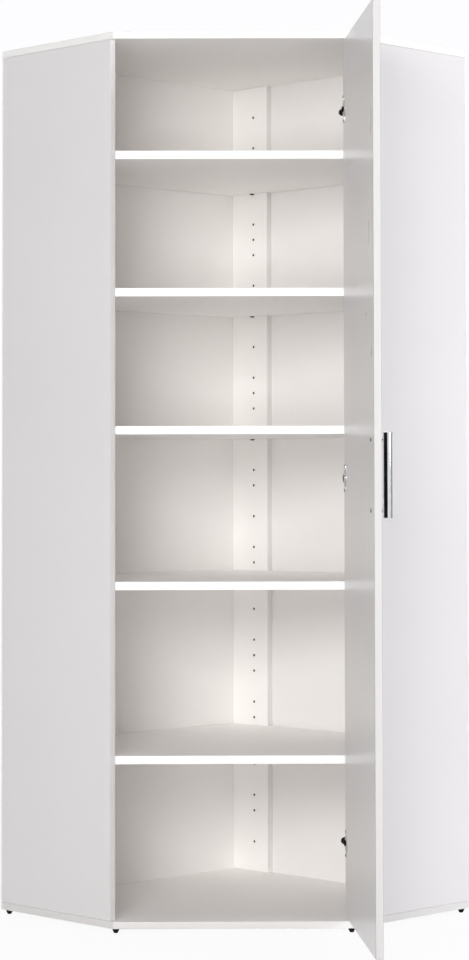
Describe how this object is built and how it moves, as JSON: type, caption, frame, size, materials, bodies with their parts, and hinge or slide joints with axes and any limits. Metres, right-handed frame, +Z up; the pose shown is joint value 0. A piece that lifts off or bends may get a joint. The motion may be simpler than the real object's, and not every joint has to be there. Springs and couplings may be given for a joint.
{
  "type": "corner cupboard",
  "caption": "Tall white corner cupboard with a diagonal front, one hinged door on concealed cup hinges, a chrome bar handle, shelves on pins and a drilled corner board.",
  "frame": {"origin": "on the floor, in the middle of the box that holds the cupboard with its door open", "axes": "+Z up; -Y out of the diagonal front; +X to the viewer's right, the hinge side"},
  "size_m": [1.0818, 1.3262, 2],
  "materials": {
    "white_board": "satin white melamine facing on particle board",
    "white_shelf_board": "satin white melamine facing with a white edge band",
    "white_rear_board": "white lacquered hardboard",
    "chrome_bar": "polished chrome",
    "nickel_hinge": "nickel-plated steel",
    "nickel_pin": "nickel-plated steel",
    "nickel_screw": "nickel-plated steel",
    "steel_hinge_pin": "bright steel",
    "black_plastic": "black moulded plastic"
  },
  "bodies": {
    "case": {"bottom_panel": "white_board", "corner_board": "white_board", "glide_corner": "black_plastic", "glide_front_left": "black_plastic", "glide_front_right": "black_plastic", "glide_rear_left": "black_plastic", "glide_rear_right": "black_plastic", "hinge_bottom_arm": "nickel_hinge", "hinge_bottom_plate": "nickel_hinge", "hinge_middle_arm": "nickel_hinge", "hinge_middle_plate": "nickel_hinge", "hinge_top_arm": "nickel_hinge", "hinge_top_plate": "nickel_hinge", "rear_panel_left": "white_rear_board", "rear_panel_right": "white_rear_board", "shelf_1": "white_shelf_board", "shelf_1_pin_corner": "nickel_pin", "shelf_1_pin_left_front": "nickel_pin", "shelf_1_pin_left_rear": "nickel_pin", "shelf_1_pin_right_front": "nickel_pin", "shelf_1_pin_right_rear": "nickel_pin", "shelf_2": "white_shelf_board", "shelf_2_pin_corner": "nickel_pin", "shelf_2_pin_left_front": "nickel_pin", "shelf_2_pin_left_rear": "nickel_pin", "shelf_2_pin_right_front": "nickel_pin", "shelf_2_pin_right_rear": "nickel_pin", "shelf_3": "white_shelf_board", "shelf_3_pin_corner": "nickel_pin", "shelf_3_pin_left_front": "nickel_pin", "shelf_3_pin_left_rear": "nickel_pin", "shelf_3_pin_right_front": "nickel_pin", "shelf_3_pin_right_rear": "nickel_pin", "shelf_4": "white_shelf_board", "shelf_4_pin_corner": "nickel_pin", "shelf_4_pin_left_front": "nickel_pin", "shelf_4_pin_left_rear": "nickel_pin", "shelf_4_pin_right_front": "nickel_pin", "shelf_4_pin_right_rear": "nickel_pin", "shelf_5": "white_shelf_board", "shelf_5_pin_corner": "nickel_pin", "shelf_5_pin_left_front": "nickel_pin", "shelf_5_pin_left_rear": "nickel_pin", "shelf_5_pin_right_front": "nickel_pin", "shelf_5_pin_right_rear": "nickel_pin", "side_panel_left": "white_board", "side_panel_right": "white_board", "top_panel": "white_board"},
    "door": {"door": "white_board", "door_handle": "chrome_bar", "handle_screw_lower": "nickel_screw", "handle_screw_upper": "nickel_screw", "hinge_bottom_cup": "nickel_hinge", "hinge_bottom_pin": "steel_hinge_pin", "hinge_middle_cup": "nickel_hinge", "hinge_middle_pin": "steel_hinge_pin", "hinge_top_cup": "nickel_hinge", "hinge_top_pin": "steel_hinge_pin"}
  },
  "joints": [
    {"name": "door_swing", "type": "hinge", "parent": "case", "child": "door", "pos_m": [0.25565, -0.14515, 1.005], "axis": [0, 0, 1], "range_deg": [-95, 0]}
  ]
}
